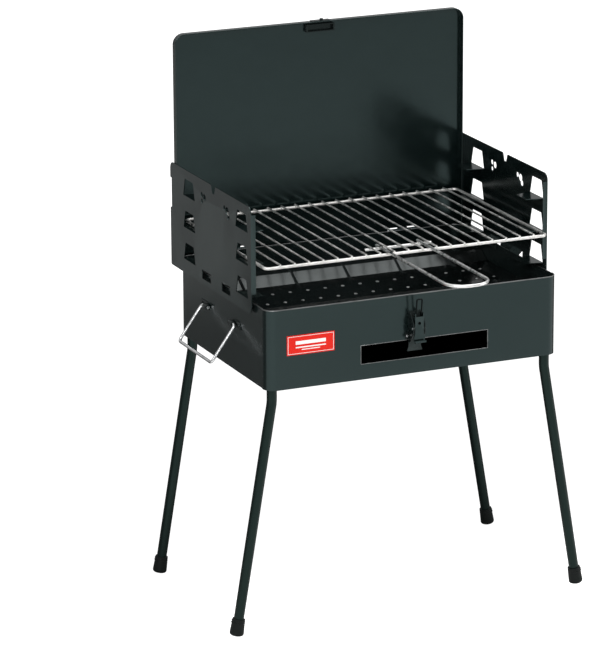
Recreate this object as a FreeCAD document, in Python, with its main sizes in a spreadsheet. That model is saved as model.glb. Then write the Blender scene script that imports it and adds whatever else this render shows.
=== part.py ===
import FreeCAD, Part
import math
import os
import Sketcher

# Folding camp grill, open and standing on its legs, in millimetres.
# The pieces are drawn about the centre of the firebox, and each one's placement then moves it
# back by frame_shift, so that the origin is on the ground under the middle of the whole open
# grill, lifter included. +X runs to the right, +Y to the back and +Z up.

V = FreeCAD.Vector
X_AXIS = V(1, 0, 0)
Y_AXIS = V(0, 1, 0)
Z_AXIS = V(0, 0, 1)

doc = FreeCAD.newDocument("camp_grill")
sheet = doc.addObject("Spreadsheet::Sheet", "sizes")
nodes = {}

SIZES = [
    ("frame_shift", 77),
    # the firebox
    ("box_width", 404), ("box_depth", 290), ("box_base", 320), ("rim_height", 424),
    ("gauge", 1), ("box_corner", 14), ("panel_wrap", 16), ("pan_wall", 12),
    ("slot_width", 176.7), ("slot_tall", 24.3), ("slot_base", 340.4), ("slot_shift", 14.3),
    # the charcoal tray
    ("tray_floor", 395), ("tray_flange", 406), ("tray_flat", 55), ("tray_slope_end", 73),
    ("tray_hole", 1.75), ("tray_hole_pitch", 24.6), ("tray_hole_row", 20.5), ("tray_gap", 0.6),
    ("bracket_place", 108), ("bracket_width", 24), ("bracket_shelf", 10), ("bracket_web", 14),
    # the lid, standing open
    ("lid_width", 409), ("lid_foot", 421), ("lid_top", 717.4), ("lid_face", 149),
    ("lid_lip", 8), ("lid_corner", 14),
    # the lid hinges
    ("hinge_y", 147.5), ("hinge_z", 423.1), ("hinge_offset", 120), ("leaf_width", 40),
    ("barrel_radius", 2.4), ("pin_radius", 1.3), ("running_gap", 0.05), ("knuckle", 13.6),
    # the side plates
    ("plate_face", 204.8), ("plate_front", 105.5), ("plate_back", 161), ("plate_base", 410),
    ("plate_top", 548), ("plate_corner", 9), ("flange_width", 5.5),
    ("window_base", 39), ("window_head", 27), ("window_tall", 22.5),
    ("level_low", 427.5), ("level_step", 42.5), ("column_front", -76), ("column_back", 97),
    # the grate
    ("grate_width", 389), ("rail_front", -126), ("rail_back", 139), ("rail_radius", 2),
    ("grate_corner", 7), ("bar_radius", 1.25), ("bar_pitch", 19.5), ("bar_count", 19),
    # the lifter
    ("lifter_radius", 2), ("lifter_half", 28.5), ("lifter_front", -313), ("lifter_back", -92),
    ("crossbar_length", 92), ("crossbar_y", -95),
    # the carrying handles
    ("grip_radius", 2), ("grip_length", 108), ("grip_reach", 56), ("grip_angle", 36),
    ("grip_middle", 5), ("clip_height", 382), ("clip_length", 25), ("clip_tall", 9),
    # the latch
    ("latch_pivot", 382), ("loop_pivot", 399.5), ("latch_stand", 12), ("loop_length", 21),
    ("loop_half", 3.6), ("loop_radius", 1), ("loop_lean", 8), ("lever_width", 12),
    ("lever_reach", 15), ("lever_end", 367), ("lever_waist", 376), ("thumb_width", 15),
    ("curl_radius", 3.2), ("padlock_hole", 2), ("padlock_height", 389), ("ear_gauge", 1.2),
    ("base_width", 17), ("base_low", 352), ("base_high", 402), ("base_ear_width", 26),
    ("base_ear_low", 366), ("base_ear_tall", 9), ("base_flare", 21), ("latch_rivet_offset", 10.8),
    # the catch on the lid's lip, and the channel welded inside the lid to back it
    ("catch_width", 26), ("catch_tongue", 4.4), ("catch_rise", 4), ("channel_half", 20),
    ("channel_depth", 5.5), ("channel_low", 14), ("channel_high", 4.2), ("channel_wall", 1.2),
    # the legs
    ("leg_radius", 6.5), ("leg_wall", 1.2), ("leg_inset", 12), ("leg_inset_y", 14),
    ("leg_splay", 9.6), ("leg_bend", 60), ("leg_straight", 13), ("leg_depth", 42),
    ("socket_radius", 8.5), ("foot_radius", 9.4), ("foot_taper", 1.2), ("foot_length", 22),
    ("foot_bore", 15), ("foot_round", 3.5),
    # the label
    ("label_width", 65), ("label_tall", 25.5), ("label_left", -175.3), ("label_base", 363.7),
]


def fill_sheet():
    for row, (alias, value) in enumerate(SIZES, start=1):
        sheet.set("A%d" % row, alias)
        sheet.set("B%d" % row, str(value))
        sheet.setAlias("B%d" % row, alias)
    doc.recompute()


def size(alias):
    return float(sheet.get(alias))


def worded(formula):
    """A formula whose size names are plain words, as the sheet wants it."""
    named = {alias for alias, _ in SIZES}
    return " ".join("sizes." + word if word in named else word for word in formula.split())


def bind(item, prop, formula):
    item.setExpression(prop, worded(formula))


def amount(formula):
    return float(sheet.evalExpression(worded(formula)))


def keep(node, item):
    """Names a finished piece and moves it into the part's own frame."""
    if item.TypeId in ("Part::Box", "Part::Cylinder"):
        item = group(node + "_piece", [item])
    item.Label = node
    bind(item, "Placement.Base.y", "frame_shift")
    nodes[node] = item
    return item


# ---------------------------------------------------------------- sheet-metal bodies

def new_body(name):
    return doc.addObject("PartDesign::Body", name + "_body")


def origin_plane(body, role):
    return [f for f in body.Origin.OriginFeatures if f.Role == role][0]


def rectangle(body, name, role, low, high, offset):
    """A rectangle whose two corners and distance from its plane are formulas."""
    sketch = body.newObject("Sketcher::SketchObject", name)
    sketch.AttachmentSupport = (origin_plane(body, role), "")
    sketch.MapMode = "FlatFace"
    bind(sketch, "AttachmentOffset.Base.z", offset)
    x0, y0 = amount(low[0]), amount(low[1])
    x1, y1 = amount(high[0]), amount(high[1])
    corners = [V(x0, y0, 0), V(x1, y0, 0), V(x1, y1, 0), V(x0, y1, 0)]
    for n in range(4):
        sketch.addGeometry(Part.LineSegment(corners[n], corners[(n + 1) % 4]))
    for n in range(4):
        sketch.addConstraint(Sketcher.Constraint("Coincident", n, 2, (n + 1) % 4, 1))
    for n in (0, 2):
        sketch.addConstraint(Sketcher.Constraint("Horizontal", n))
        sketch.addConstraint(Sketcher.Constraint("Vertical", n + 1))
    places = [("DistanceX", 0, 1, low[0], x0), ("DistanceY", 0, 1, low[1], y0),
              ("DistanceX", 2, 1, high[0], x1), ("DistanceY", 2, 1, high[1], y1)]
    for kind, edge, point, formula, value in places:
        index = sketch.addConstraint(Sketcher.Constraint(kind, -1, 1, edge, point, value))
        bind(sketch, "Constraints[%d]" % index, formula)
    return sketch


def pad(body, name, sketch, length, reversed_way=False):
    feature = body.newObject("PartDesign::Pad", name)
    feature.Profile = sketch
    bind(feature, "Length", length)
    feature.Reversed = reversed_way
    doc.recompute()
    return feature


def pocket(body, name, sketch, length, reversed_way=False):
    before = body.Shape.Volume
    feature = body.newObject("PartDesign::Pocket", name)
    feature.Profile = sketch
    bind(feature, "Length", length)
    feature.Reversed = reversed_way
    doc.recompute()
    if body.Shape.Volume > before - 0.01:
        raise RuntimeError(name + " cuts nothing")
    return feature


def fillet(body, name, base, radius, chosen):
    """Rounds the edges of base for which chosen(middle, direction) is true."""
    edges = []
    for n, edge in enumerate(base.Shape.Edges, start=1):
        if edge.Curve.TypeId != "Part::GeomLine":
            continue
        middle = edge.CenterOfMass
        direction = edge.tangentAt(edge.FirstParameter)
        if chosen(middle, direction):
            edges.append("Edge%d" % n)
    feature = body.newObject("PartDesign::Fillet", name)
    feature.Base = (base, edges)
    bind(feature, "Radius", radius)
    doc.recompute()
    return feature


def upright(direction):
    return abs(direction.z) > 0.99


def front_panel():
    """The front sheet, wrapped round both front corners, with the draught slot."""
    body = new_body("front_panel")
    outer = rectangle(body, "panel_outer", "XY_Plane",
                      ("- box_width / 2", "- box_depth / 2"),
                      ("box_width / 2", "- box_depth / 2 + panel_wrap"), "box_base")
    pad(body, "panel_pad", outer, "rim_height - box_base")
    front = -size("box_depth") / 2
    inner = rectangle(body, "panel_inner", "XY_Plane",
                      ("- box_width / 2 + gauge", "- box_depth / 2 + gauge"),
                      ("box_width / 2 - gauge", "- box_depth / 2 + panel_wrap + gauge"),
                      "box_base")
    hollow = pocket(body, "panel_hollow", inner, "rim_height - box_base", True)
    inside = fillet(body, "panel_inner_corners", hollow, "box_corner - gauge",
                    lambda m, d: upright(d) and abs(m.y - front - 1) < 0.2)
    fillet(body, "panel_corners", inside, "box_corner",
           lambda m, d: upright(d) and m.y < front + 0.5)
    slot = rectangle(body, "panel_slot", "XZ_Plane",
                     ("slot_shift - slot_width / 2", "slot_base"),
                     ("slot_shift + slot_width / 2", "slot_base + slot_tall"),
                     "box_depth / 2 - gauge * 3")
    pocket(body, "panel_slot_cut", slot, "gauge * 6", True)
    keep("front_panel", body)


def body_shell():
    """Both side sheets and the rear sheet, bent from one strip."""
    body = new_body("body_shell")
    outer = rectangle(body, "shell_outer", "XY_Plane",
                      ("- box_width / 2 + gauge", "- box_depth / 2 + box_corner"),
                      ("box_width / 2 - gauge", "box_depth / 2"), "box_base")
    pad(body, "shell_pad", outer, "rim_height - box_base")
    back = size("box_depth") / 2
    inner = rectangle(body, "shell_inner", "XY_Plane",
                      ("- box_width / 2 + gauge * 2", "- box_depth / 2"),
                      ("box_width / 2 - gauge * 2", "box_depth / 2 - gauge"), "box_base")
    hollow = pocket(body, "shell_hollow", inner, "rim_height - box_base", True)
    inside = fillet(body, "shell_inner_corners", hollow, "box_corner - gauge",
                    lambda m, d: upright(d) and abs(m.y - back + 1) < 0.2)
    fillet(body, "shell_corners", inside, "box_corner",
           lambda m, d: upright(d) and m.y > back - 0.5)
    keep("body_shell", body)


def leg_places():
    x = amount("box_width / 2 - leg_inset")
    y = amount("box_depth / 2 - leg_inset_y")
    return {"front_left": (-x, -y), "front_right": (x, -y),
            "rear_left": (-x, y), "rear_right": (x, y)}


def floor_pan():
    """The shallow pan that closes the firebox, with a hole for each leg."""
    body = new_body("floor_pan")
    outer = rectangle(body, "pan_outer", "XY_Plane",
                      ("- box_width / 2 + gauge * 2", "- box_depth / 2 + gauge"),
                      ("box_width / 2 - gauge * 2", "box_depth / 2 - gauge"), "box_base")
    pad(body, "pan_pad", outer, "pan_wall")
    inner = rectangle(body, "pan_inner", "XY_Plane",
                      ("- box_width / 2 + gauge * 3", "- box_depth / 2 + gauge * 2"),
                      ("box_width / 2 - gauge * 3", "box_depth / 2 - gauge * 2"),
                      "box_base + gauge")
    hollow = pocket(body, "pan_hollow", inner, "pan_wall", True)
    inner_x = amount("box_width / 2 - gauge * 3")
    inside = fillet(body, "pan_inner_corners", hollow, "box_corner - gauge * 2",
                    lambda m, d: upright(d) and abs(abs(m.x) - inner_x) < 0.1)
    fillet(body, "pan_corners", inside, "box_corner - gauge",
           lambda m, d: upright(d) and abs(m.x) > inner_x + 0.5)
    holes = body.newObject("Sketcher::SketchObject", "pan_holes")
    holes.AttachmentSupport = (origin_plane(body, "XY_Plane"), "")
    holes.MapMode = "FlatFace"
    bind(holes, "AttachmentOffset.Base.z", "box_base")
    for x, y in leg_places().values():
        index = holes.addGeometry(Part.Circle(V(x, y, 0), Z_AXIS, size("leg_radius") + 0.5))
        radius = holes.addConstraint(
            Sketcher.Constraint("Radius", index, size("leg_radius") + 0.5))
        bind(holes, "Constraints[%d]" % radius, "leg_radius + 0.5")
    pocket(body, "pan_hole_cut", holes, "gauge * 2", True)
    keep("floor_pan", body)


def lid():
    """The lid standing open: a flat sheet with a turned lip on three sides."""
    body = new_body("lid")
    # the sketches lie on the XZ plane, whose own normal is -Y
    outer = rectangle(body, "lid_outer", "XZ_Plane",
                      ("- lid_width / 2", "lid_foot"), ("lid_width / 2", "lid_top"),
                      "- lid_face - gauge")
    pad(body, "lid_pad", outer, "lid_lip + gauge")
    top = size("lid_top")
    inner = rectangle(body, "lid_inner", "XZ_Plane",
                      ("- lid_width / 2 + gauge", "lid_foot - gauge"),
                      ("lid_width / 2 - gauge", "lid_top - gauge"), "- lid_face")
    hollow = pocket(body, "lid_hollow", inner, "lid_lip + gauge", True)
    inside = fillet(body, "lid_inner_corners", hollow, "lid_corner - gauge",
                    lambda m, d: abs(d.y) > 0.99 and abs(m.z - top + 1) < 0.2)
    fillet(body, "lid_corners", inside, "lid_corner",
           lambda m, d: abs(d.y) > 0.99 and m.z > top - 0.5)
    for side, mark in ((-1, "left"), (1, "right")):
        centre = ("- " if side < 0 else "") + "hinge_offset"
        notch = rectangle(body, "lid_notch_" + mark, "XZ_Plane",
                          (centre + " - leaf_width / 2 - gauge", "lid_foot - gauge"),
                          (centre + " + leaf_width / 2 + gauge", "lid_foot + 5.5"),
                          "- lid_face - gauge * 2")
        pocket(body, "lid_notch_cut_" + mark, notch, "gauge * 4", True)
    keep("lid", body)


# ---------------------------------------------------------------- primitives

def box(name, low, high):
    """A box between two corners, each given as three formulas."""
    item = doc.addObject("Part::Box", name)
    for prop, n in (("Length", 0), ("Width", 1), ("Height", 2)):
        bind(item, prop, high[n] + " - ( " + low[n] + " )")
        bind(item, "Placement.Base." + "xyz"[n], low[n])
    return item


def rod(name, radius, length, base, axis):
    """A cylinder from base along axis; radius and length are formulas."""
    item = doc.addObject("Part::Cylinder", name)
    bind(item, "Radius", radius)
    bind(item, "Height", length)
    item.Placement = FreeCAD.Placement(base, FreeCAD.Rotation(Z_AXIS, axis))
    return item


def fuse(name, parts):
    item = doc.addObject("Part::MultiFuse", name)
    item.Shapes = parts
    item.Refine = True
    return item


def cut(name, base, tool):
    item = doc.addObject("Part::Cut", name)
    item.Base = base
    item.Tool = tool
    return item


def group(name, parts):
    item = doc.addObject("Part::Compound", name)
    item.Links = parts
    return item


def leg_sockets():
    """Four blind tubes welded to the floor pan, which hold the legs' upper ends."""
    sockets = []
    for mark, (x, y) in leg_places().items():
        foot = V(x, y, amount("box_base + gauge"))
        tube = rod("socket_tube_" + mark, "socket_radius", "leg_depth + gauge", foot, Z_AXIS)
        below = V(x, y, size("box_base"))
        bore = rod("socket_bore_" + mark, "leg_radius + running_gap", "leg_depth", below, Z_AXIS)
        sockets.append(cut("socket_" + mark, tube, bore))
    keep("leg_sockets", group("sockets", sockets))


def tray_brackets():
    """Four small angles on the side walls, which carry the charcoal tray."""
    half = size("bracket_width") / 2
    brackets = []
    for side, sign in (("left", -1), ("right", 1)):
        wall = amount("box_width / 2 - gauge * 2") * sign
        shelf_x = sorted((wall, wall - sign * size("bracket_shelf")))
        web_x = sorted((wall, wall - sign * size("gauge")))
        for end, place in (("front", -size("bracket_place")), ("rear", size("bracket_place"))):
            mark = side + "_" + end
            shelf = box("shelf_" + mark,
                        ("%g" % shelf_x[0], "%g" % (place - half), "tray_flange - gauge * 2"),
                        ("%g" % shelf_x[1], "%g" % (place + half), "tray_flange - gauge"))
            web = box("web_" + mark,
                      ("%g" % web_x[0], "%g" % (place - half), "tray_flange - bracket_web"),
                      ("%g" % web_x[1], "%g" % (place + half), "tray_flange - gauge"))
            brackets.append(fuse("bracket_" + mark, [shelf, web]))
    keep("tray_brackets", group("brackets", brackets))


def barrel(name, start, end, bore):
    """A hinge knuckle along X, from start to end, with its bore."""
    base = V(start, size("hinge_y"), size("hinge_z"))
    outer = rod(name + "_outer", "barrel_radius", "%g" % (end - start), base, X_AXIS)
    inner = rod(name + "_bore", bore, "%g" % (end - start), base, X_AXIS)
    return outer, inner


def hinge(mark, middle):
    """One butt hinge: the box leaf with two knuckles, the lid leaf with one, and the pin."""
    half = size("leaf_width") / 2
    inner = size("knuckle") / 2
    wall = "box_depth / 2"
    leaf = box("box_leaf_" + mark, ("%g" % (middle - half), wall, "hinge_z - 24"),
               ("%g" % (middle + half), wall + " + gauge", "hinge_z"))
    gap = box("box_leaf_gap_" + mark, ("%g" % (middle - inner - 0.3), wall + " - gauge", "hinge_z - 4"),
              ("%g" % (middle + inner + 0.3), wall + " + 5", "hinge_z + 4"))
    leaf = cut("box_leaf_cut_" + mark, leaf, gap)
    left, left_bore = barrel("knuckle_a_" + mark, middle - half, middle - inner - 0.3, "pin_radius")
    right, right_bore = barrel("knuckle_b_" + mark, middle + inner + 0.3, middle + half, "pin_radius")
    solid = fuse("box_leaf_solid_" + mark, [leaf, left, right])
    box_leaf = cut("box_leaf_done_" + mark, solid, fuse("box_bores_" + mark, [left_bore, right_bore]))
    centre, bore = barrel("knuckle_c_" + mark, middle - inner, middle + inner, "pin_radius + running_gap")
    web = box("lid_web_" + mark, ("%g" % (middle - inner), "hinge_y + 1.1", "hinge_z + 0.9"),
              ("%g" % (middle + inner), "lid_face + gauge * 2", "hinge_z + 6"))
    plate = box("lid_leaf_" + mark, ("%g" % (middle - half), "lid_face + gauge", "hinge_z + 4"),
                ("%g" % (middle + half), "lid_face + gauge * 2", "hinge_z + 28"))
    blank = box("lid_web_clear_" + mark, ("%g" % (middle - half - 1), "hinge_y", "lid_foot + 5.5"),
                ("%g" % (middle + half + 1), "lid_face + gauge", "hinge_z + 30"))
    solid = fuse("lid_leaf_solid_" + mark, [centre, web, plate])
    trimmed = cut("lid_leaf_trim_" + mark, solid, blank)
    lid_leaf = cut("lid_leaf_done_" + mark, trimmed, bore)
    start = V(middle - half, size("hinge_y"), size("hinge_z"))
    pin = rod("hinge_pin_" + mark, "pin_radius", "leaf_width", start, X_AXIS)
    return box_leaf, lid_leaf, pin


def hinges():
    offset = size("hinge_offset")
    made = [hinge("left", -offset), hinge("right", offset)]
    keep("hinge_box_leaves", group("box_leaves", [m[0] for m in made]))
    keep("hinge_lid_leaves", group("lid_leaves", [m[1] for m in made]))
    keep("hinge_pins", group("pins", [m[2] for m in made]))


def lid_keeper():
    """The catch: a plate on the lid's lip with the tongue that the latch loop drops over, and
    the channel spot-welded inside the lid to back it."""
    edge = "lid_face - lid_lip"
    plate = box("catch_plate", ("- catch_width / 2", edge, "lid_top"),
                ("catch_width / 2", "lid_face", "lid_top + gauge"))
    tongue = box("catch_tongue", ("- catch_tongue / 2", edge, "lid_top"),
                 ("catch_tongue / 2", edge + " + gauge", "lid_top + catch_rise"))
    channel = box("channel_block", ("- channel_half", "lid_face - channel_depth", "lid_top - channel_low"),
                  ("channel_half", "lid_face", "lid_top - channel_high"))
    hollow = box("channel_hollow",
                 ("- channel_half + channel_wall * 2", "lid_face - channel_depth - 1",
                  "lid_top - channel_low + channel_wall"),
                 ("channel_half - channel_wall * 2", "lid_face - gauge",
                  "lid_top - channel_high - channel_wall"))
    inside = cut("channel", channel, hollow)
    keep("lid_keeper", group("keeper", [fuse("catch", [plate, tongue]), inside]))


def label_plate():
    front = "- box_depth / 2"
    plate = box("label", ("label_left", front + " - 0.6", "label_base"),
                ("label_left + label_width", front, "label_base + label_tall"))
    keep("label_plate", plate)


# ---------------------------------------------------------------- bent wire

def bent_path(points, radius):
    """A wire of straight stretches joined by arcs of one radius."""
    edges = []
    start = points[0]
    for before, corner, after in zip(points, points[1:], points[2:]):
        back = (before - corner).normalize()
        on = (after - corner).normalize()
        half = back.getAngle(on) / 2
        reach = radius / math.tan(half)
        first = corner + back * reach
        last = corner + on * reach
        middle = corner + (back + on).normalize() * (radius / math.sin(half) - radius)
        edges.append(Part.makeLine(start, first))
        edges.append(Part.Arc(first, middle, last).toShape())
        start = last
    edges.append(Part.makeLine(start, points[-1]))
    return Part.Wire(edges)


def swept(name, points, bend, radius):
    """Round wire along a bent path; radius is a formula."""
    spine = doc.addObject("Part::Feature", name + "_spine")
    spine.Shape = bent_path(points, bend)
    ring = doc.addObject("Part::Circle", name + "_ring")
    bind(ring, "Radius", radius)
    turn = FreeCAD.Rotation(Z_AXIS, points[1] - points[0])
    ring.Placement = FreeCAD.Placement(points[0], turn)
    sweep = doc.addObject("Part::Sweep", name)
    sweep.Sections = [ring]
    sweep.Spine = (spine, ["Edge%d" % n for n in range(1, len(spine.Shape.Edges) + 1)])
    sweep.Solid = True
    sweep.Frenet = True
    return sweep


def splay_point(x, y, depth):
    """A point of the leg's axis, depth millimetres below the end of its upright stretch."""
    angle = math.radians(size("leg_splay"))
    corner = amount("box_base - leg_straight") - size("leg_bend") * math.tan(angle / 2)
    sign = 1 if x > 0 else -1
    return V(x + sign * depth * math.tan(angle), y, corner - depth), corner


def leg(mark, x, y):
    """A tube that plugs into its socket, bends once and splays out to its rubber foot."""
    top = V(x, y, amount("box_base + leg_depth"))
    ground, corner = splay_point(x, y, 0)
    end, _ = splay_point(x, y, corner - 7)
    path = [top, ground, end]
    outer = swept("leg_outer_" + mark, path, size("leg_bend"), "leg_radius")
    inner = swept("leg_inner_" + mark, path, size("leg_bend"), "leg_radius - leg_wall")
    keep("leg_" + mark, cut("leg_tube_" + mark, outer, inner))
    along = (ground - end).normalize()
    base = end - along * (size("foot_length") - size("foot_bore"))
    cap = doc.addObject("Part::Cone", "foot_cap_" + mark)
    bind(cap, "Radius1", "foot_radius")
    bind(cap, "Radius2", "foot_radius - foot_taper")
    bind(cap, "Height", "foot_length")
    cap.Placement = FreeCAD.Placement(base, FreeCAD.Rotation(Z_AXIS, along))
    bore = rod("foot_bore_" + mark, "leg_radius", "foot_bore + 1", end, along)
    soil = box("foot_ground_" + mark, ("%g" % (base.x - 30), "%g" % (y - 30), "-40"),
               ("%g" % (base.x + 30), "%g" % (y + 30), "0"))
    doc.recompute()
    rounded = doc.addObject("Part::Fillet", "foot_round_" + mark)
    rounded.Base = cap
    rims = [n for n, e in enumerate(cap.Shape.Edges, start=1)
            if len(e.Vertexes) == 1 and e.Curve.TypeId == "Part::GeomCircle"
            and (e.Curve.Center - base).Length < 0.1]
    rounded.Edges = [(n, size("foot_round"), size("foot_round")) for n in rims]
    hollow = cut("foot_hollow_" + mark, rounded, bore)
    keep("foot_" + mark, cut("foot_done_" + mark, hollow, soil))


def legs():
    for mark, (x, y) in leg_places().items():
        leg(mark, x, y)


def rail_level():
    return amount("level_low + level_step + gauge + rail_radius + running_gap")


def grate():
    """The grate: a rounded rod frame with the cooking bars across it."""
    level = rail_level()
    half = size("grate_width") / 2
    front, back = size("rail_front"), size("rail_back")
    points = [V(0, front, level), V(half, front, level), V(half, back, level),
              V(-half, back, level), V(-half, front, level), V(-0.001, front, level)]
    keep("grate_frame", swept("frame_rod", points, size("grate_corner"), "rail_radius"))
    height = level + amount("rail_radius + bar_radius + 0.01")
    nose = front - size("bar_radius")
    bars = []
    for n in range(int(size("bar_count"))):
        x = (n - (size("bar_count") - 1) / 2) * size("bar_pitch")
        bars.append(rod("bar_%02d" % (n + 1), "bar_radius", "rail_back - rail_front + bar_radius * 2",
                        V(x, nose, height), Y_AXIS))
    keep("grate_bars", group("bars", bars))


def lifter():
    """The wire loop that lifts the grate, and the crossbar welded under its ends."""
    level = rail_level() + amount("rail_radius + lifter_radius + 0.02")
    half, front, back = size("lifter_half"), size("lifter_front"), size("lifter_back")
    points = [V(-half, back, level), V(-half, front, level),
              V(half, front, level), V(half, back, level)]
    keep("lifter_loop", swept("lifter_wire", points, half - 4, "lifter_radius"))
    under = level - amount("lifter_radius * 2") - 0.06
    start = V(-size("crossbar_length") / 2, size("crossbar_y"), under)
    keep("lifter_crossbar", rod("crossbar", "lifter_radius", "crossbar_length", start, X_AXIS))


def grip_axis():
    return amount("box_width / 2 - gauge + 3.4")


def carrying_handle(mark, sign):
    """One bail handle hanging from two clips on a side wall."""
    lean = math.radians(size("grip_angle"))
    x = grip_axis() * sign
    z = size("clip_height")
    low = V(x + sign * size("grip_reach") * math.sin(lean), 0, z - size("grip_reach") * math.cos(lean))
    y0 = size("grip_middle") - size("grip_length") / 2
    y1 = size("grip_middle") + size("grip_length") / 2
    points = [V(x, y0 + 19, z), V(x, y0, z), V(low.x, y0, low.z),
              V(low.x, y1, low.z), V(x, y1, z), V(x, y1 - 19, z)]
    keep(mark + "_handle", swept(mark + "_bail", points, 5, "grip_radius"))
    clips = []
    for end, toward in ((y0, 1), (y1, -1)):
        start = end + toward * 7
        middle = end + toward * 2
        low_y = min(start, start + toward * 10)
        knuckle = rod("clip_barrel_%s_%d" % (mark, toward), "grip_radius + 1.2", "10",
                      V(x, low_y, z), Y_AXIS)
        bore = rod("clip_bore_%s_%d" % (mark, toward), "grip_radius + running_gap", "10",
                   V(x, low_y, z), Y_AXIS)
        wall = amount("box_width / 2 - gauge") * sign
        x0, x1 = sorted((wall, wall + sign))
        plate = box("clip_plate_%s_%d" % (mark, toward),
                    ("%g" % x0, "%g" % middle + " - clip_length / 2", "clip_height - clip_tall / 2"),
                    ("%g" % x1, "%g" % middle + " + clip_length / 2", "clip_height + clip_tall / 2"))
        solid = fuse("clip_solid_%s_%d" % (mark, toward), [plate, knuckle])
        clips.append(cut("clip_%s_%d" % (mark, toward), solid, bore))
    keep(mark + "_handle_clips", group(mark + "_clips", clips))


def clip_rivets():
    """One round-headed rivet in each handle clip's wall flange, clear of the wire."""
    rivets = []
    for sign in (-1, 1):
        for toward in (1, -1):
            end = size("grip_middle") - toward * size("grip_length") / 2
            base = V(sign * amount("box_width / 2"), end - toward * 6, size("clip_height"))
            name = "clip_rivet_%d" % (len(rivets) + 1)
            rivets.append(rod(name, "1.8", "0.9", base, X_AXIS * sign))
    keep("clip_rivets", group("rivets", rivets))


# ---------------------------------------------------------------- pressed pieces

def face_of(points):
    return Part.Face(Part.makePolygon(points + [points[0]]))


def pressed(node, shape):
    item = doc.addObject("Part::Feature", node + "_pressing")
    item.Shape = shape
    keep(node, item)


def round_corners(shape, radius):
    """Rounds the four upright corner edges of a shape that fills its own plan rectangle."""
    limit = shape.BoundBox
    chosen = []
    for edge in shape.Edges:
        middle = edge.CenterOfMass
        at_corner = (min(abs(middle.x - limit.XMin), abs(middle.x - limit.XMax)) < 0.01
                     and min(abs(middle.y - limit.YMin), abs(middle.y - limit.YMax)) < 0.01)
        if at_corner:
            chosen.append(edge)
    return shape.makeFillet(radius, chosen)


def coal_tray():
    """The charcoal tray: a flat perforated bed between two slopes, with flat flanges."""
    half = amount("box_depth / 2 - gauge - tray_gap")
    side = amount("box_width / 2 - gauge * 2 - tray_gap")
    low, high = size("tray_floor"), size("tray_flange")
    flat, slope, thick = size("tray_flat"), size("tray_slope_end"), size("gauge")
    upper = [(-half, high), (-slope, high), (-flat, low), (flat, low), (slope, high), (half, high)]
    lower = [(y, z - thick) for y, z in reversed(upper)]
    outline = [V(-side, y, z) for y, z in upper + lower]
    tray = face_of(outline).extrude(X_AXIS * side * 2)
    tray = round_corners(tray, size("box_corner"))
    columns = int(side / size("tray_hole_pitch"))
    for row in (-size("tray_hole_row"), size("tray_hole_row")):
        for n in range(-columns + 1, columns):
            base = V(n * size("tray_hole_pitch"), row, low - thick - 1)
            tray = tray.cut(Part.makeCylinder(size("tray_hole"), thick + 2, base, Z_AXIS))
    pressed("coal_tray", tray)


def side_outline(x):
    """The plate's outline in its own plane, with rounded front corners and a top notch."""
    front, back = -size("plate_front"), size("plate_back")
    low, high, r = size("plate_base"), size("plate_top"), size("plate_corner")
    notch = 15.5
    edges = [
        Part.makeLine(V(x, front + r, low), V(x, back - 2, low)),
        Part.Arc(V(x, back - 2, low), V(x, back - 0.6, low + 0.6), V(x, back, low + 2)).toShape(),
        Part.makeLine(V(x, back, low + 2), V(x, back, high - r)),
        Part.Arc(V(x, back, high - r), V(x, back - r * 0.2929, high - r * 0.2929),
                 V(x, back - r, high)).toShape(),
        Part.makeLine(V(x, back - r, high), V(x, notch + 7, high)),
        Part.makeLine(V(x, notch + 7, high), V(x, notch + 3, high - 10.5)),
        Part.makeLine(V(x, notch + 3, high - 10.5), V(x, notch - 3, high - 10.5)),
        Part.makeLine(V(x, notch - 3, high - 10.5), V(x, notch - 7, high)),
        Part.makeLine(V(x, notch - 7, high), V(x, front + r, high)),
        Part.Arc(V(x, front + r, high), V(x, front + r * 0.2929, high - r * 0.2929),
                 V(x, front, high - r)).toShape(),
        Part.makeLine(V(x, front, high - r), V(x, front, low + r)),
        Part.Arc(V(x, front, low + r), V(x, front + r * 0.2929, low + r * 0.2929),
                 V(x, front + r, low)).toShape(),
    ]
    return Part.Face(Part.Wire(edges))


def window(x, column, level):
    wide, narrow, tall = size("window_base") / 2, size("window_head") / 2, size("window_tall")
    return face_of([V(x, column - wide, level), V(x, column + wide, level),
                    V(x, column + narrow, level + tall), V(x, column - narrow, level + tall)])


def shelf(sign, column, level):
    """The tab bent inward at the foot of a window, which carries the grate."""
    face = size("plate_face") * sign
    wide, narrow, tall = size("window_base") / 2, size("window_head") / 2, size("window_tall")
    tip = face - sign * tall
    return face_of([V(face, column - wide, level), V(face, column + wide, level),
                    V(tip, column + narrow, level), V(tip, column - narrow, level)]
                   ).extrude(Z_AXIS * size("gauge"))


def hook(sign, low_y, high_y):
    """A tongue lanced from the plate, which drops over the firebox rim."""
    face = size("plate_face")
    inner = amount("box_width / 2 - gauge * 2") - 0.4
    rim = size("rim_height")
    thick = size("gauge")
    profile = [(face, rim + 5), (inner, rim - 0.2), (inner, rim - 7.5), (inner - thick, rim - 7.5),
               (inner - thick, rim + 0.3), (face, rim + 6.3)]
    return face_of([V(x * sign, low_y, z) for x, z in profile]).extrude(Y_AXIS * (high_y - low_y))


def keyhole(x, circles):
    solids = [Part.makeCylinder(r, 6, V(x - 3, y, z), X_AXIS) for y, z, r in circles]
    first = solids[0]
    return first.fuse(solids[1:])


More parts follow.
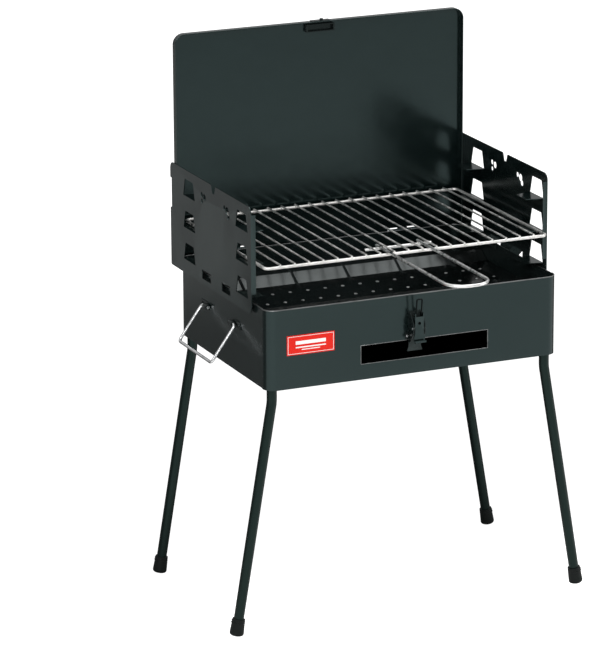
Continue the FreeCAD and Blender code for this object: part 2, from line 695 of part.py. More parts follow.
def side_plate(mark, sign):
    """A windscreen plate that hooks on a side wall and carries the grate on its tabs."""
    face = size("plate_face") * sign
    thick = size("gauge") * sign
    plate = side_outline(face).extrude(X_AXIS * thick)
    columns = (size("column_front"), size("column_back"))
    levels = [size("level_low") + n * size("level_step") for n in range(3)]
    for column in columns:
        for level in levels:
            opening = window(face - sign, column, level + size("gauge"))
            plate = plate.cut(opening.extrude(X_AXIS * sign * 3))
            plate = plate.fuse(shelf(sign, column, level))
    for low_y, high_y in ((26.5, 55.5), (-37.5, -10)):
        gap = Part.makeBox(4, high_y - low_y, 12, V(min(face, face + thick) - 1.5, low_y, 417))
        plate = plate.cut(gap).fuse(hook(sign, low_y + 0.8, high_y - 0.8))
    rear_slot = Part.makeBox(4, 5, 40, V(min(face, face + thick) - 1.5, 156.5, 487))
    plate = plate.cut(rear_slot)
    plate = plate.cut(keyhole(face, [(53.5, 528, 3.5), (45, 526, 4.5), (53, 519.5, 3)]))
    plate = plate.cut(keyhole(face, [(-21, 528, 3.5), (-29.5, 526, 5), (-33.5, 519.5, 4)]))
    low, high = size("rim_height") + 12, size("plate_top") - size("plate_corner") - 1
    width = size("flange_width") + size("gauge")
    x0 = min(face + thick, face + thick - sign * width)
    flange = Part.makeBox(width, size("gauge"), high - low, V(x0, -size("plate_front"), low))
    plate = plate.fuse(flange).removeSplitter()
    pressed(mark + "_plate", plate)


# ---------------------------------------------------------------- the latch

def latch_front():
    return -size("box_depth") / 2


def cross_pin_hole(radius, height):
    """A cutter for a bore along X through the latch, on its pivot line."""
    stand = latch_front() - size("latch_stand")
    return Part.makeCylinder(radius, 20, V(-10, stand, height), X_AXIS)


def latch_ear(x):
    """A side wall of the latch base, tapering to the panel above and below the pivot."""
    front = latch_front()
    reach = front - size("lever_reach")
    pivot = size("latch_pivot")
    profile = [V(x, front, pivot - 20), V(x, front - 5, pivot - 20), V(x, reach, pivot - 6),
               V(x, reach, pivot + 6), V(x, front - 5, pivot + 18), V(x, front, pivot + 18)]
    return face_of(profile).extrude(X_AXIS * size("ear_gauge"))


def latch_base():
    """The latch's channel base, riveted to the front panel, with two pivot ears."""
    thick = size("ear_gauge")
    back = latch_front() - thick
    half = size("base_width") / 2
    low, tall = size("base_low"), size("base_high") - size("base_low")
    wing, flare = size("base_ear_width"), size("base_flare")
    plate = Part.makeBox(half * 2, thick, tall, V(-half, back, low))
    wings = Part.makeBox(wing, thick, size("base_ear_tall"), V(-wing / 2, back, size("base_ear_low")))
    foot = face_of([V(-flare / 2, back, low - 2), V(flare / 2, back, low - 2),
                    V(half, back, low + 4), V(-half, back, low + 4)]).extrude(Y_AXIS * thick)
    ears = [latch_ear(-half + 0.1), latch_ear(half - 0.1 - thick)]
    base = plate.fuse([wings, foot] + ears)
    base = base.cut(cross_pin_hole(1.5, size("latch_pivot")))
    pressed("latch_base", base.removeSplitter())
    stand = latch_front() - size("latch_stand")
    keep("latch_pin", rod("latch_pivot_pin", "1.5", "18.4", V(-9.2, stand, size("latch_pivot")), X_AXIS))
    rivets = []
    height = amount("base_ear_low + base_ear_tall / 2")
    for n, sign in enumerate((-1, 1)):
        place = V(sign * size("latch_rivet_offset"), back, height)
        rivets.append(rod("latch_rivet_%d" % n, "1.5", "0.8", place, Y_AXIS * -1))
    keep("latch_rivets", group("latch_rivet_pair", rivets))


def latch_lever():
    """The lever: a flat face with side flanges and a padlock hole, flaring to a curled end."""
    outer = latch_front() - size("lever_reach")
    half, thumb = size("lever_width") / 2, size("thumb_width") / 2
    waist, end = size("lever_waist"), size("lever_end")
    head = size("loop_pivot") - 2
    face = face_of([V(-half, outer, head), V(half, outer, head), V(half, outer, waist),
                    V(thumb, outer, end + 3), V(thumb, outer, end), V(-thumb, outer, end),
                    V(-thumb, outer, end + 3), V(-half, outer, waist)]).extrude(Y_AXIS * 1)
    hole = Part.makeCylinder(size("padlock_hole"), 3, V(0, outer - 1, size("padlock_height")), Y_AXIS)
    radius = size("curl_radius")
    middle = outer - radius + 1
    curl = Part.makeCylinder(radius, thumb * 2, V(-thumb, middle, end), X_AXIS)
    curl = curl.cut(Part.makeCylinder(radius - 1, thumb * 2, V(-thumb, middle, end), X_AXIS))
    curl = curl.common(Part.makeBox(thumb * 2, 5.4, 4, V(-thumb, outer - 4.4, end - 4)))
    flanges = []
    for x in (-half, half - 1):
        profile = [V(x, outer, waist), V(x, outer + 5.5, waist + 3), V(x, outer + 5.5, head + 4.5),
                   V(x, outer, head + 4.5)]
        flanges.append(face_of(profile).extrude(X_AXIS * 1))
    lever = face.cut(hole).fuse([curl] + flanges)
    lever = lever.cut(cross_pin_hole(1.55, size("latch_pivot")))
    lever = lever.cut(cross_pin_hole(1.05, size("loop_pivot")))
    pressed("latch_lever", lever.removeSplitter())


def latch_loop():
    """The wire loop that reaches from the lever to the catch on the lid."""
    lean = math.radians(size("loop_lean"))
    y = latch_front() - size("latch_stand")
    z = size("loop_pivot")
    half = size("loop_half")
    top = V(0, y - size("loop_length") * math.sin(lean), z + size("loop_length") * math.cos(lean))
    points = [V(-6.8, y, z), V(-half, y, z), V(-half, top.y, top.z),
              V(half, top.y, top.z), V(half, y, z), V(6.8, y, z)]
    keep("latch_loop", swept("loop_wire", points, 1.6, "loop_radius"))


# ---------------------------------------------------------------- build and write

def build():
    fill_sheet()
    front_panel()
    body_shell()
    floor_pan()
    lid()
    leg_sockets()
    tray_brackets()
    hinges()
    lid_keeper()
    label_plate()
    legs()
    grate()
    lifter()
    for mark, sign in (("left", -1), ("right", 1)):
        carrying_handle(mark, sign)
        side_plate(mark, sign)
    clip_rivets()
    coal_tray()
    latch_base()
    latch_lever()
    latch_loop()
    doc.recompute()


def check():
    for item in doc.Objects:
        if any(word in item.State for word in ("Invalid", "Error")):
            raise RuntimeError("%s failed: %s" % (item.Name, item.State))
    for node, item in nodes.items():
        if item.Shape.isNull() or not item.Shape.isValid() or not item.Shape.Solids:
            raise RuntimeError(node + " is not a valid solid")


def write():
    os.makedirs("parts", exist_ok=True)
    for node, item in nodes.items():
        item.Shape.exportStep("parts/%s.step" % node)


build()
check()
write()
print("wrote %d nodes" % len(nodes))
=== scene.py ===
import math

import bmesh
import bpy
from mathutils import Matrix, Vector


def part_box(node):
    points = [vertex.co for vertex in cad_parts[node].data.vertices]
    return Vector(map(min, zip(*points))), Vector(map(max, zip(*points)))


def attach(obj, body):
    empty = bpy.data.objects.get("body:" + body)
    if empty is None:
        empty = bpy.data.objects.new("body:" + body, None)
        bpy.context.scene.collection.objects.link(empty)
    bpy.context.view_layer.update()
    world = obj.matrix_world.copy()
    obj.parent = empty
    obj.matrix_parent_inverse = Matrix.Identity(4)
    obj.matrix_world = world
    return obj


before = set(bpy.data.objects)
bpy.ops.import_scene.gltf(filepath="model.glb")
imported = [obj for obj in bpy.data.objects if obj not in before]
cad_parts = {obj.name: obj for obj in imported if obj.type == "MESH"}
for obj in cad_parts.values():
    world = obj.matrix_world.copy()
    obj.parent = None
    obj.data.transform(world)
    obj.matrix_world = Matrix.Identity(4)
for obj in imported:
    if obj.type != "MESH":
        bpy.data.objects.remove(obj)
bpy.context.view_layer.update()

MM = 0.001
scene = bpy.context.scene


# ---------------------------------------------------------------- sizes from the frame

def corners(node):
    """The lowest and highest corner of a CAD piece's box."""
    low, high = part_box(node)
    return Vector(low), Vector(high)


panel_low, panel_high = corners("front_panel")
_, shell_high = corners("body_shell")
tray_low, tray_high = corners("coal_tray")
lid_low, lid_high = corners("lid")
label_low, label_high = corners("label_plate")
rail_low, rail_high = corners("grate_frame")
bars_low, bars_high = corners("grate_bars")
_, loop_high = corners("lifter_loop")
bar_low, bar_high = corners("lifter_crossbar")

GAUGE = 1.0 * MM
CORNER = 14 * MM
RAIL = 2.0 * MM
BAR = 1.25 * MM
LID_CORNER = 14 * MM
BAR_COUNT = 19
BAR_PITCH = (bars_high.x - bars_low.x - 2 * BAR) / (BAR_COUNT - 1)


# ---------------------------------------------------------------- material building blocks

def new_material(name):
    made = bpy.data.materials.new(name)
    made.use_nodes = True
    tree = made.node_tree
    shader = tree.nodes["Principled BSDF"]
    return made, tree, shader


def place(tree):
    """Object-space coordinates, so the grain has a real size on every piece."""
    return tree.nodes.new("ShaderNodeTexCoord").outputs["Object"]


def noise(tree, scale, detail=3.0, rough=0.5, stretch=None):
    coords = place(tree)
    if stretch:
        mapping = tree.nodes.new("ShaderNodeMapping")
        mapping.inputs["Scale"].default_value = stretch
        tree.links.new(coords, mapping.inputs["Vector"])
        coords = mapping.outputs["Vector"]
    made = tree.nodes.new("ShaderNodeTexNoise")
    made.inputs["Scale"].default_value = scale
    made.inputs["Detail"].default_value = detail
    made.inputs["Roughness"].default_value = rough
    tree.links.new(coords, made.inputs["Vector"])
    return made.outputs["Fac"]


def spread(tree, value, low, high, start=0.0, end=1.0):
    """Maps a value from start..end to low..high."""
    made = tree.nodes.new("ShaderNodeMapRange")
    made.inputs["From Min"].default_value = start
    made.inputs["From Max"].default_value = end
    made.inputs["To Min"].default_value = low
    made.inputs["To Max"].default_value = high
    tree.links.new(value, made.inputs["Value"])
    return made.outputs["Result"]


def mix_colour(tree, factor, first, second):
    made = tree.nodes.new("ShaderNodeMix")
    made.data_type = "RGBA"
    tree.links.new(factor, made.inputs["Factor"])
    for socket, colour in ((6, first), (7, second)):
        if isinstance(colour, tuple):
            made.inputs[socket].default_value = (*colour, 1.0)
        else:
            tree.links.new(colour, made.inputs[socket])
    return made.outputs[2]


def bump(tree, shader, height, distance, strength=1.0, below=None):
    made = tree.nodes.new("ShaderNodeBump")
    made.inputs["Strength"].default_value = strength
    made.inputs["Distance"].default_value = distance
    tree.links.new(height, made.inputs["Height"])
    if below is not None:
        tree.links.new(below, made.inputs["Normal"])
    tree.links.new(made.outputs["Normal"], shader.inputs["Normal"])
    return made.outputs["Normal"]


def edge_mask(tree, low=0.52, high=0.60):
    """Near 1 on convex edges, near 0 on flats."""
    geometry = tree.nodes.new("ShaderNodeNewGeometry")
    return spread(tree, geometry.outputs["Pointiness"], 0.0, 1.0, low, high)


def enamel(name, dark, light, rough, peel=1.0, tint=(0.70, 0.98, 0.98), gloss=1.46):
    """Baked enamel on steel: orange peel, faint clouding, smears and worn edges."""
    made, tree, shader = new_material(name)
    cloud = spread(tree, noise(tree, 9, 4, 0.6), 0.0, 1.0, 0.3, 0.7)
    colour = mix_colour(tree, cloud, dark, light)
    worn = mix_colour(tree, edge_mask(tree), colour, tuple(min(1, c * 2.2 + 0.01) for c in light))
    tree.links.new(worn, shader.inputs["Base Color"])
    smear = noise(tree, 45, 5, 0.65)
    tree.links.new(spread(tree, smear, rough * 0.9, rough * 1.15, 0.3, 0.7),
                   shader.inputs["Roughness"])
    shader.inputs["IOR"].default_value = gloss
    shader.inputs["Specular Tint"].default_value = (*tint, 1.0)
    wave = bump(tree, shader, noise(tree, 38, 1.5, 0.4), 0.0010 * peel, 0.20)
    bump(tree, shader, noise(tree, 520, 2, 0.5), 0.00005 * peel, 0.4, wave)
    return made


def plated(name, colour, rough, stretch):
    """Plated wire: drawn lines along it, small tarnish patches and bright wear."""
    made, tree, shader = new_material(name)
    tarnish = spread(tree, noise(tree, 70, 5, 0.65), 0.0, 1.0, 0.45, 0.75)
    dull = tuple(c * 0.55 for c in colour)
    tree.links.new(mix_colour(tree, tarnish, colour, dull), shader.inputs["Base Color"])
    shader.inputs["Metallic"].default_value = 1.0
    tree.links.new(spread(tree, noise(tree, 160, 4, 0.6), rough * 0.6, rough * 1.7, 0.3, 0.7),
                   shader.inputs["Roughness"])
    bump(tree, shader, noise(tree, 420, 3, 0.6, stretch), 0.00012, 0.6)
    return made


def rubber(name):
    """Dull black moulded rubber."""
    made, tree, shader = new_material(name)
    tree.links.new(mix_colour(tree, noise(tree, 60, 4, 0.6), (0.0015, 0.0030, 0.0026),
                              (0.0040, 0.0062, 0.0056)), shader.inputs["Base Color"])
    shader.inputs["IOR"].default_value = 1.28
    tree.links.new(spread(tree, noise(tree, 220, 3), 0.42, 0.62), shader.inputs["Roughness"])
    bump(tree, shader, noise(tree, 900, 2, 0.6), 0.0001, 0.5)
    return made


def printed(name, colour, rough=0.28):
    """A printed, lacquered metal badge."""
    made, tree, shader = new_material(name)
    darker = tuple(c * 0.86 for c in colour)
    tree.links.new(mix_colour(tree, noise(tree, 55, 3), colour, darker),
                   shader.inputs["Base Color"])
    tree.links.new(spread(tree, noise(tree, 300, 3), rough * 0.8, rough * 1.3),
                   shader.inputs["Roughness"])
    shader.inputs["IOR"].default_value = 1.22
    bump(tree, shader, noise(tree, 700, 2), 0.00005, 0.4)
    return made


ENAMEL = enamel("enamel", (0.0004, 0.0018, 0.0017), (0.0010, 0.0030, 0.0028), 0.19)
TRAY_ENAMEL = enamel("tray_enamel", (0.0004, 0.0008, 0.0008), (0.0014, 0.0020, 0.0020), 0.16, 1.0,
                     (0.88, 0.98, 0.97), 1.42)
LEG_ENAMEL = enamel("leg_enamel", (0.0008, 0.0026, 0.0022), (0.0018, 0.0042, 0.0036), 0.30, 0.6,
                    (0.62, 0.96, 0.88), 1.34)
BLACK_STEEL = enamel("black_steel", (0.0015, 0.0025, 0.0025), (0.004, 0.006, 0.006), 0.26, 0.5,
                     (0.8, 1.0, 0.98), 1.30)
LOOP_STEEL = enamel("loop_steel", (0.0008, 0.0012, 0.0012), (0.002, 0.003, 0.003), 0.34, 0.4,
                    (0.8, 1.0, 0.98), 1.18)
EDGE_STEEL = plated("edge_steel", (0.17, 0.175, 0.175), 0.34, (1, 1, 1))
# painted highlight: pale metal for the rings round the tray's air holes, in place of the light their
# edges catch
HOLE_HIGHLIGHT_STEEL = plated("hole_highlight_steel", (0.60, 0.61, 0.61), 0.34, (1, 1, 1))
GRATE_WIRE = plated("grate_wire", (0.80, 0.79, 0.77), 0.40, (9, 1, 9))
LIFTER_WIRE = plated("lifter_wire", (0.78, 0.78, 0.77), 0.27, (9, 1, 9))
BAIL_WIRE = plated("bail_wire", (0.80, 0.81, 0.82), 0.15, (9, 1, 9))
PIN_STEEL = plated("pin_steel", (0.62, 0.63, 0.64), 0.22, (1, 9, 9))
RUBBER = rubber("foot_rubber")
RED = printed("red_badge", (0.66, 0.018, 0.010))
WHITE = printed("white_print", (0.80, 0.80, 0.78))


# ---------------------------------------------------------------- CAD pieces

def dress(node, material, width=0.28 * MM, segments=2, angle=32):
    """Gives a CAD piece its material, smooth shading and slightly rounded sheet edges."""
    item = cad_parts[node]
    item.data.materials.clear()
    item.data.materials.append(material)
    for face in item.data.polygons:
        face.use_smooth = True
    item.data.set_sharp_from_angle(angle=math.radians(angle))
    if width:
        weld = item.modifiers.new("weld", "WELD")
        weld.merge_threshold = 0.002 * MM
        soft = item.modifiers.new("soft_edges", "BEVEL")
        soft.width = width
        soft.segments = segments
        soft.limit_method = "ANGLE"
        soft.angle_limit = math.radians(angle)
        soft.use_clamp_overlap = True
        flats = item.modifiers.new("flat_faces", "WEIGHTED_NORMAL")
        flats.weight = 100


def dress_cad():
    """Gives every CAD piece its material."""
    for node in ("front_panel", "body_shell", "lid", "left_plate", "right_plate"):
        dress(node, ENAMEL)
    for node in ("floor_pan", "leg_sockets", "tray_brackets", "hinge_box_leaves",
                 "hinge_lid_leaves"):
        dress(node, ENAMEL, 0.2 * MM)
    dress("lid_keeper", BLACK_STEEL, 0.2 * MM)
    dress("coal_tray", TRAY_ENAMEL, angle=18)
    dress("latch_lever", ENAMEL, 0.2 * MM)
    dress("latch_base", BLACK_STEEL, 0.2 * MM)
    for node in ("left_handle_clips", "right_handle_clips", "clip_rivets"):
        dress(node, BLACK_STEEL, 0.2 * MM)
    dress("latch_loop", LOOP_STEEL, 0)
    for node in ("hinge_pins", "latch_pin", "latch_rivets"):
        dress(node, PIN_STEEL, 0.25 * MM)
    dress("grate_frame", GRATE_WIRE, 0)
    dress("grate_bars", GRATE_WIRE, 0.3 * MM)
    for node in ("lifter_loop", "lifter_crossbar"):
        dress(node, LIFTER_WIRE, 0.4 * MM)
    for node in ("left_handle", "right_handle"):
        dress(node, BAIL_WIRE, 0.4 * MM)
    dress("label_plate", RED, 0.15 * MM)
    for side in ("front_left", "front_right", "rear_left", "rear_right"):
        dress("leg_" + side, LEG_ENAMEL, 0.3 * MM)
        dress("foot_" + side, RUBBER, 0.5 * MM, 3)


# ---------------------------------------------------------------- added pieces

def finish_piece(item, material, body):
    item.data.materials.append(material)
    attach(item, body)
    return item


def tube(name, points, radius, material, body, closed=False):
    """Round wire through points, as a mesh."""
    curve = bpy.data.curves.new(name, "CURVE")
    curve.dimensions = "3D"
    curve.bevel_depth = radius
    curve.bevel_resolution = 4
    curve.use_fill_caps = True
    spline = curve.splines.new("POLY")
    spline.points.add(len(points) - 1)
    for point, place_at in zip(spline.points, points):
        point.co = (*place_at, 1.0)
    spline.use_cyclic_u = closed
    spline.use_smooth = True
    item = bpy.data.objects.new(name, curve)
    scene.collection.objects.link(item)
    return finish_piece(item, material, body)


def arc(centre, radius, start, end, height, steps=8):
    """Points along a level arc, from start to end in degrees."""
    points = []
    for n in range(steps + 1):
        angle = math.radians(start + (end - start) * n / steps)
        points.append(Vector((centre[0] + radius * math.cos(angle),
                              centre[1] + radius * math.sin(angle), height)))
    return points


def mesh_piece(name, build, material, body, smooth=True):
    mesh = bpy.data.meshes.new(name)
    form = bmesh.new()
    build(form)
    bmesh.ops.recalc_face_normals(form, faces=form.faces)
    form.to_mesh(mesh)
    form.free()
    for face in mesh.polygons:
        face.use_smooth = smooth
    item = bpy.data.objects.new(name, mesh)
    scene.collection.objects.link(item)
    return finish_piece(item, material, body)


def blobs(form, places, radii, segments=12):
    """Flattened weld beads at each place."""
    for place_at in places:
        matrix = Matrix.Translation(place_at) @ Matrix.Diagonal((*radii, 1.0))
        bmesh.ops.create_uvsphere(form, u_segments=segments, v_segments=segments // 2,
                                  radius=1.0, matrix=matrix)


def slab(form, low, high):
    """A box between two corners."""
    size = Vector(high) - Vector(low)
    middle = (Vector(high) + Vector(low)) / 2
    matrix = Matrix.Translation(middle) @ Matrix.Diagonal((*size, 1.0))
    bmesh.ops.create_cube(form, size=1.0, matrix=matrix)


def rim_rolls():
    """The bright turned edge round the firebox rim."""
    roll = 0.75 * MM
    height = panel_high.z - 0.55 * MM
    middle = panel_high.x - GAUGE / 2
    centre_y = panel_low.y + CORNER
    bend = CORNER - GAUGE / 2
    inset = panel_high.x - CORNER
    back = panel_high.y
    path = [Vector((-middle, back, height))]
    path += arc((-inset, centre_y), bend, 180, 270, height)
    path += arc((inset, centre_y), bend, 270, 360, height)
    path += [Vector((middle, back, height))]
    tube("front_rim_roll", path, roll, EDGE_STEEL, "firebox")
    middle = shell_high.x - GAUGE / 2
    inset = shell_high.x - CORNER
    centre_y = shell_high.y - CORNER
    path = [Vector((middle, back, height))]
    path += arc((inset, centre_y), bend, 0, 90, height)
    path += arc((-inset, centre_y), bend, 90, 180, height)
    path += [Vector((-middle, back, height))]
    tube("rear_rim_roll", path, roll, EDGE_STEEL, "firebox")


def lid_edge():
    """The turned edge of the lid's lip on its two sides and free end."""
    roll = 0.7 * MM
    y = lid_low.y + 0.4 * MM
    half = lid_high.x - GAUGE / 2
    bend = LID_CORNER - GAUGE / 2
    inset = lid_high.x - LID_CORNER
    foot = lid_low.z + 1 * MM
    steps = 12
    path = [Vector((-half, y, foot))]
    for centre_x, start, end in ((-inset, 180, 90), (inset, 90, 0)):
        for n in range(steps + 1):
            angle = math.radians(start + (end - start) * n / steps)
            path.append(Vector((centre_x + bend * math.cos(angle), y,
                                lid_high.z - LID_CORNER + bend * math.sin(angle))))
    path.append(Vector((half, y, foot)))
    tube("lid_lip_roll", path, roll, ENAMEL, "lid")


def slot_edge():
    """The bare, bright edge of the draught slot."""
    low_x, high_x = -74.05 * MM, 102.65 * MM
    low_z, high_z = 340.4 * MM, 364.7 * MM
    y = panel_low.y + 0.3 * MM
    path = [Vector((low_x, y, low_z)), Vector((high_x, y, low_z)),
            Vector((high_x, y, high_z)), Vector((low_x, y, high_z))]
    tube("slot_edge", path, 0.7 * MM, EDGE_STEEL, "firebox", True)


def tray_beads():
    """Stiffening beads pressed across both slopes of the charcoal tray."""
    high = tray_high.z
    low = tray_low.z + GAUGE
    middle = (tray_low.y + tray_high.y) / 2
    sunk = 0.9 * MM
    buried = 1.6 * MM
    steps = ((80, high - buried), (74, high - sunk), (55, low - sunk), (44, low - buried))
    for n, x in enumerate((-148, -74, 0, 74, 148)):
        for side, sign in (("front", -1), ("rear", 1)):
            path = [Vector((x * MM, middle + sign * y * MM, z)) for y, z in steps]
            tube("tray_bead_%s_%d" % (side, n + 1), path, 2.4 * MM, TRAY_ENAMEL,
                 "firebox")


def grate_welds():
    """The resistance welds where each bar crosses the rails."""
    level = (rail_low.z + rail_high.z) / 2 + RAIL
    front = rail_low.y + RAIL
    back = rail_high.y - RAIL
    places = []
    for n in range(BAR_COUNT):
        x = (n - (BAR_COUNT - 1) / 2) * BAR_PITCH
        for y in (front, back):
            places.append(Vector((x, y, level)))
    mesh_piece("grate_welds", lambda form: blobs(form, places, (1.9 * MM, 1.8 * MM, 0.8 * MM)),
               GRATE_WIRE, "grate")


def lifter_welds():
    """The two welds that join the crossbar to the lifter's loop."""
    level = bar_high.z
    y = (bar_low.y + bar_high.y) / 2
    reach = loop_high.x - 2 * MM
    places = [Vector((s * reach, y, level)) for s in (-1, 1)]
    mesh_piece("lifter_welds", lambda form: blobs(form, places, (2.3 * MM, 2.2 * MM, 0.9 * MM)),
               LIFTER_WIRE, "lifter")


def seam_welds():
    """Spot welds down the lap where the front sheet covers each side sheet."""
    lap = panel_high.y - 3 * MM
    places = []
    for sign in (-1, 1):
        for z in (336, 366, 398):
            places.append(Vector((sign * panel_high.x, lap, z * MM)))
    mesh_piece("seam_welds", lambda form: blobs(form, places, (0.25 * MM, 1.6 * MM, 1.6 * MM)),
               ENAMEL, "firebox")


def keeper_welds():
    """Spot welds that hold the catch to the lid."""
    reach, drop = 12 * MM, 9 * MM
    places = [Vector((s * reach, lid_high.y, lid_high.z - drop)) for s in (-1, 1)]
    mesh_piece("keeper_welds", lambda form: blobs(form, places, (2.2 * MM, 0.2 * MM, 2.2 * MM)),
               ENAMEL, "lid")


def label_print():
    """A plain border and three plain bars: the badge carries no name."""
    face = label_low.y
    proud = 0.12 * MM
    inset, line = 1.4 * MM, 0.55 * MM
    x0, x1 = label_low.x + inset, label_high.x - inset
    z0, z1 = label_low.z + inset, label_high.z - inset
    width, tall = x1 - x0, z1 - z0

    def build(form):
        slab(form, (x0, face - proud, z0), (x1, face, z0 + line))
        slab(form, (x0, face - proud, z1 - line), (x1, face, z1))
        slab(form, (x0, face - proud, z0 + line), (x0 + line, face, z1 - line))
        slab(form, (x1 - line, face - proud, z0 + line), (x1, face, z1 - line))
        middle = (x0 + x1) / 2
        for share, level, thick in ((0.66, 0.62, 0.20), (0.66, 0.36, 0.07), (0.40, 0.22, 0.05)):
            half = width * share / 2
            z = z0 + tall * level
            slab(form, (middle - half, face - proud, z - tall * thick / 2),
                 (middle + half, face, z + tall * thick / 2))

    mesh_piece("label_print", build, WHITE, "firebox", False)


def foot_bands():
    """Two raised moulded bands round each foot cap, which tapers upward."""
    tilt = math.radians(9.6)
    middle_radius, taper = 8.75, 0.0545
    steps = 32
    for side in ("front_left", "front_right", "rear_left", "rear_right"):
        low, high = corners("foot_" + side)
        sign = 1 if low.x > 0 else -1
        axis = Vector((-sign * math.sin(tilt), 0, math.cos(tilt)))
        across = Vector((math.cos(tilt), 0, sign * math.sin(tilt)))
        middle = (low + high) / 2
        for n, rise in enumerate((5.0, 7.6)):
            centre = middle + axis * rise * MM
            radius = (middle_radius - taper * rise) * MM
            path = []
            for k in range(steps):
                angle = 2 * math.pi * k / steps
                path.append(centre + across * radius * math.cos(angle)
                            + Vector((0, 1, 0)) * radius * math.sin(angle))
            tube("foot_band_%s_%d" % (side, n + 1), path, 0.5 * MM, RUBBER,
                 "leg_" + side, True)


def ring(form, centre, radius, thick, steps=18, sides=6):
    """A torus lying flat, round a hole."""
    loops = []
    for n in range(steps):
        turn = 2 * math.pi * n / steps
        loop = []
        for k in range(sides):
            roll = 2 * math.pi * k / sides
            reach = radius + thick * math.cos(roll)
            loop.append(form.verts.new(centre + Vector((reach * math.cos(turn), reach * math.sin(turn),
                                                        thick * math.sin(roll)))))
        loops.append(loop)
    for n in range(steps):
        near, far = loops[n], loops[(n + 1) % steps]
        for k in range(sides):
            form.faces.new((near[k], far[k], far[(k + 1) % sides], near[(k + 1) % sides]))


def tray_hole_highlight_rings():
    """Pale metal rings round the air holes pierced in the charcoal tray: a painted highlight, standing
    in for the light the hole edges catch.
    """
    level = tray_low.z + GAUGE
    middle = (tray_low.y + tray_high.y) / 2
    half_count, pitch, row_offset = 7, 24.6 * MM, 20.5 * MM
    radius, thick = 1.85 * MM, 0.26 * MM

    def build(form):
        for row in (-row_offset, row_offset):
            for n in range(-half_count, half_count + 1):
                ring(form, Vector((n * pitch, middle + row, level)), radius, thick)

    mesh_piece("tray_hole_highlight_rings", build, HOLE_HIGHLIGHT_STEEL, "firebox")


def added_pieces():
    """Everything seen that the CAD doesn't hold."""
    rim_rolls()
    lid_edge()
    slot_edge()
    tray_beads()
    grate_welds()
    lifter_welds()
    seam_welds()
    keeper_welds()
    label_print()
    foot_bands()
    tray_hole_highlight_rings()


# ---------------------------------------------------------------- studio

def floor():
    """A floor the camera sees as white paper from above and looks through from below. What the
    enamel mirrors of it is pale in front, dark just behind the grill and grey further back."""
    mesh = bpy.data.meshes.new("floor")
    reach = 40
    mesh.from_pydata([(-reach, -reach, 0), (reach, -reach, 0), (reach, reach, 0),
                      (-reach, reach, 0)], [], [(0, 1, 2, 3)])
    item = bpy.data.objects.new("floor", mesh)
    scene.collection.objects.link(item)
    made, tree, shader = new_material("floor_paper")
    parts = tree.nodes.new("ShaderNodeSeparateXYZ")
    tree.links.new(place(tree), parts.inputs["Vector"])
    ramp = tree.nodes.new("ShaderNodeValToRGB")
    tree.links.new(spread(tree, parts.outputs["Y"], 0.0, 1.0, -0.5, 2.5), ramp.inputs["Fac"])
    shades = ((0.0, 0.90), (0.14, 0.88), (0.24, 0.06), (0.60, 0.06), (0.69, 0.30))
    ramp.color_ramp.elements[0].position = shades[0][0]
    ramp.color_ramp.elements[1].position = shades[1][0]
    for position, _ in shades[2:]:
        ramp.color_ramp.elements.new(position)
    for stop, (_, shade) in zip(ramp.color_ramp.elements, shades):
        stop.color = (shade, shade, shade * 0.995, 1.0)
    fibre = spread(tree, noise(tree, 3, 3), 0.0, 0.06)
    tree.links.new(mix_colour(tree, fibre, ramp.outputs["Color"], (0.80, 0.80, 0.79)),
                   shader.inputs["Base Color"])
    shader.inputs["Roughness"].default_value = 0.8
    shader.inputs["Emission Color"].default_value = (1, 1, 1, 1)
    rays = tree.nodes.new("ShaderNodeLightPath")
    tree.links.new(rays.outputs["Is Camera Ray"], shader.inputs["Emission Strength"])
    side = tree.nodes.new("ShaderNodeNewGeometry")
    seen_below = tree.nodes.new("ShaderNodeMath")
    seen_below.operation = "MULTIPLY"
    tree.links.new(side.outputs["Backfacing"], seen_below.inputs[0])
    tree.links.new(rays.outputs["Is Camera Ray"], seen_below.inputs[1])
    tree.links.new(spread(tree, seen_below.outputs["Value"], 1.0, 0.0), shader.inputs["Alpha"])
    mesh.materials.append(made)


def softbox(name, spot, target, width, height, power):
    """A soft rectangular light at a spot, aimed at the target."""
    light = bpy.data.lights.new(name, "AREA")
    light.shape = "RECTANGLE"
    light.size = width
    light.size_y = height
    light.energy = power
    item = bpy.data.objects.new(name, light)
    scene.collection.objects.link(item)
    item.location = spot
    item.rotation_euler = (Vector(target) - Vector(spot)).to_track_quat("-Z", "Y").to_euler()


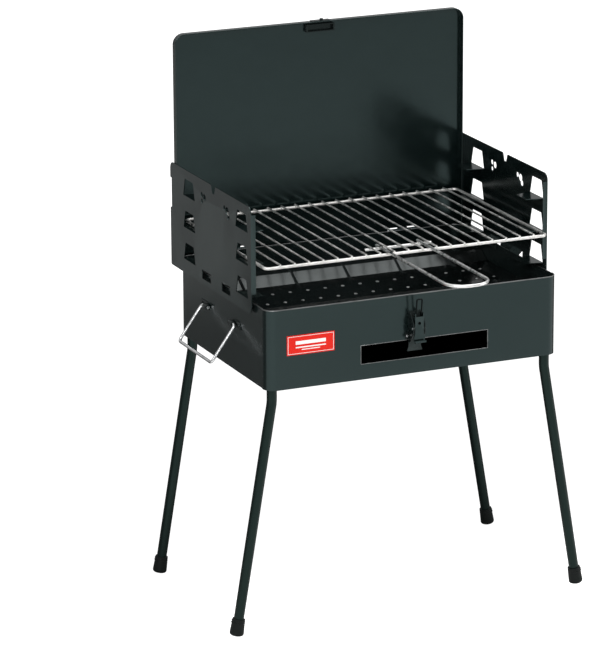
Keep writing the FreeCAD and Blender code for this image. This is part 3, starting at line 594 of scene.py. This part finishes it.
def studio():
    """A plain room, brighter overhead, which the camera sees as white; and three soft lights."""
    world = bpy.data.worlds.new("studio")
    scene.world = world
    world.use_nodes = True
    tree = world.node_tree
    back = tree.nodes["Background"]
    back.inputs["Color"].default_value = (1.0, 1.0, 1.0, 1.0)
    coords = tree.nodes.new("ShaderNodeTexCoord")
    parts = tree.nodes.new("ShaderNodeSeparateXYZ")
    tree.links.new(coords.outputs["Generated"], parts.inputs["Vector"])
    rays = tree.nodes.new("ShaderNodeLightPath")
    seen = tree.nodes.new("ShaderNodeMix")
    tree.links.new(rays.outputs["Is Camera Ray"], seen.inputs["Factor"])
    tree.links.new(spread(tree, parts.outputs["Z"], 0.32, 1.05), seen.inputs[2])
    seen.inputs[3].default_value = 1.0
    tree.links.new(seen.outputs[0], back.inputs["Strength"])
    target = (0, 0.077, 0.4)
    softbox("key", (-1.6, -2.2, 2.6), target, 1.6, 1.6, 75)
    softbox("top", (1.0, 0.5, 2.5), target, 1.6, 1.3, 19)
    softbox("fill", (2.6, -1.4, 1.2), target, 1.4, 1.8, 18)


def camera():
    """A long lens above the front left of the grill."""
    data = bpy.data.cameras.new("camera")
    data.lens = 224.15
    spot = Vector((-2.1343, -4.6021, 1.8364))
    data.clip_end = 200
    item = bpy.data.objects.new("camera", data)
    scene.collection.objects.link(item)
    turn, dip, roll = 0.4112, 0.2842, -0.0052
    forward = Vector((math.sin(turn) * math.cos(dip), math.cos(turn) * math.cos(dip), -math.sin(dip)))
    right = Vector((math.cos(turn), -math.sin(turn), 0))
    up = right.cross(forward)
    tilted_right = right * math.cos(roll) + up * math.sin(roll)
    tilted_up = up * math.cos(roll) - right * math.sin(roll)
    item.matrix_world = Matrix((
        (tilted_right.x, tilted_up.x, -forward.x, spot.x),
        (tilted_right.y, tilted_up.y, -forward.y, spot.y),
        (tilted_right.z, tilted_up.z, -forward.z, spot.z),
        (0, 0, 0, 1)))
    scene.camera = item


dress_cad()
added_pieces()
floor()
studio()
camera()
scene.view_settings.view_transform = "Standard"
